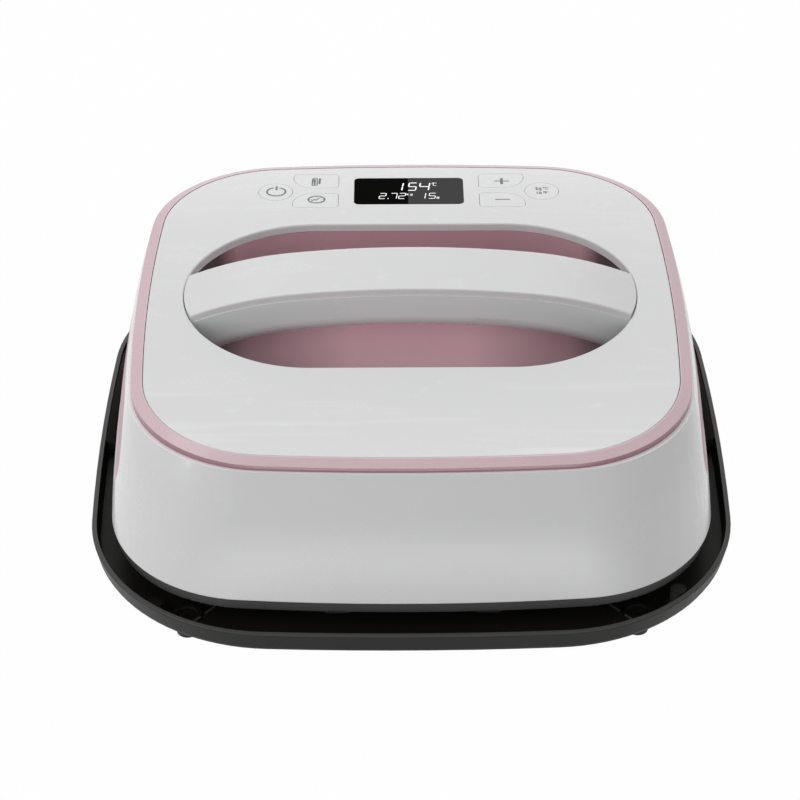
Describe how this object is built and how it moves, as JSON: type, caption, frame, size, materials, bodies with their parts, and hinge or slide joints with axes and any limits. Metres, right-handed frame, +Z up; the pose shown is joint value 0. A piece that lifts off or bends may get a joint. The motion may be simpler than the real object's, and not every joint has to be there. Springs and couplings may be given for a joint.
{
  "type": "heat press",
  "caption": "Flat craft heat press with an arched handle let into a tub in its top, a display with keys behind it, and a shallow base tray on feet.",
  "frame": {"origin": "middle of the footprint, on the surface that the tray's feet stand on", "axes": "+X to the user's right, +Y to the rear (the side with the display and the cord entry), +Z up"},
  "size_m": [0.2936, 0.2936, 0.1092],
  "materials": {
    "tray_black": "fine-grained",
    "foot_rubber": "matt",
    "screw_steel": "zinc plated",
    "mat_silicone": "matt",
    "shell_white": "satin",
    "inlay_pink": "pearly satin",
    "accent_pink": "pearly satin",
    "tub_pink": "pearly satin",
    "window_black": "polished",
    "key_white": "satin",
    "board_green": "solder mask",
    "switch_black": "moulded",
    "module_grey": "moulded",
    "frame_black": "fine-grained",
    "plate_aluminium": "non-stick coated",
    "element_steel": "drawn tube",
    "bush_ceramic": "glazed",
    "mica_tan": "flaky",
    "fibre_white": "felted",
    "shield_steel": "rolled",
    "cell_steel": "stamped",
    "post_steel": "turned",
    "sensor_steel": "stamped",
    "standoff_nylon": "moulded",
    "transformer_dark": "potted",
    "relay_black": "moulded",
    "terminal_green": "moulded",
    "capacitor_dark": "sleeved",
    "gland_black": "moulded"
  },
  "bodies": {
    "tray": {"tray": "tray_black", "foot_front_left": "foot_rubber", "foot_front_right": "foot_rubber", "foot_rear_left": "foot_rubber", "foot_rear_right": "foot_rubber", "foot_screws": "screw_steel", "heat_mat": "mat_silicone"},
    "press": {"skirt_shell": "shell_white", "side_inlay_left": "inlay_pink", "side_inlay_right": "inlay_pink", "accent_ring": "accent_pink", "deck_panel": "shell_white", "handle_tub": "tub_pink", "handle_cover": "shell_white", "handle_base": "shell_white", "deck_screws": "screw_steel", "tub_screws": "screw_steel", "handle_screws": "screw_steel", "display_window": "window_black", "control_board": "board_green", "board_screws": "screw_steel", "tact_switches": "switch_black", "lcd_module": "module_grey", "base_frame": "frame_black", "base_screws": "screw_steel", "heating_plate": "plate_aluminium", "heating_element": "element_steel", "element_terminals": "bush_ceramic", "mica_sheet": "mica_tan", "insulation_pad": "fibre_white", "heat_shield": "shield_steel", "load_cell_front_left": "cell_steel", "load_cell_front_right": "cell_steel", "load_cell_rear_left": "cell_steel", "load_cell_rear_right": "cell_steel", "plate_posts": "post_steel", "cell_screws": "screw_steel", "thermistor": "sensor_steel", "thermal_fuse": "sensor_steel", "power_board": "board_green", "board_standoffs": "standoff_nylon", "power_screws": "screw_steel", "transformer": "transformer_dark", "power_relay": "relay_black", "terminal_block": "terminal_green", "capacitor": "capacitor_dark", "buzzer": "relay_black", "cord_gland": "gland_black", "gland_nut": "gland_black", "cord_clamp": "gland_black"},
    "power_key": {"power_button": "key_white"},
    "units_key": {"units_button": "key_white"},
    "temperature_key": {"temperature_button": "key_white"},
    "timer_key": {"timer_button": "key_white"},
    "plus_key": {"plus_button": "key_white"},
    "minus_key": {"minus_button": "key_white"}
  },
  "joints": [
    {"name": "press_lift", "type": "slide", "parent": "tray", "child": "press", "axis": [0, 0, 1], "range_m": [0, 0.12]},
    {"name": "power_press", "type": "slide", "parent": "press", "child": "power_key", "axis": [0, 0, -1], "range_m": [0, 0.0005], "stiffness_N_per_m": 1500},
    {"name": "units_press", "type": "slide", "parent": "press", "child": "units_key", "axis": [0, 0, -1], "range_m": [0, 0.0005], "stiffness_N_per_m": 1500},
    {"name": "temperature_press", "type": "slide", "parent": "press", "child": "temperature_key", "axis": [0, 0, -1], "range_m": [0, 0.0005], "stiffness_N_per_m": 1500},
    {"name": "timer_press", "type": "slide", "parent": "press", "child": "timer_key", "axis": [0, 0, -1], "range_m": [0, 0.0005], "stiffness_N_per_m": 1500},
    {"name": "plus_press", "type": "slide", "parent": "press", "child": "plus_key", "axis": [0, 0, -1], "range_m": [0, 0.0005], "stiffness_N_per_m": 1500},
    {"name": "minus_press", "type": "slide", "parent": "press", "child": "minus_key", "axis": [0, 0, -1], "range_m": [0, 0.0005], "stiffness_N_per_m": 1500}
  ]
}
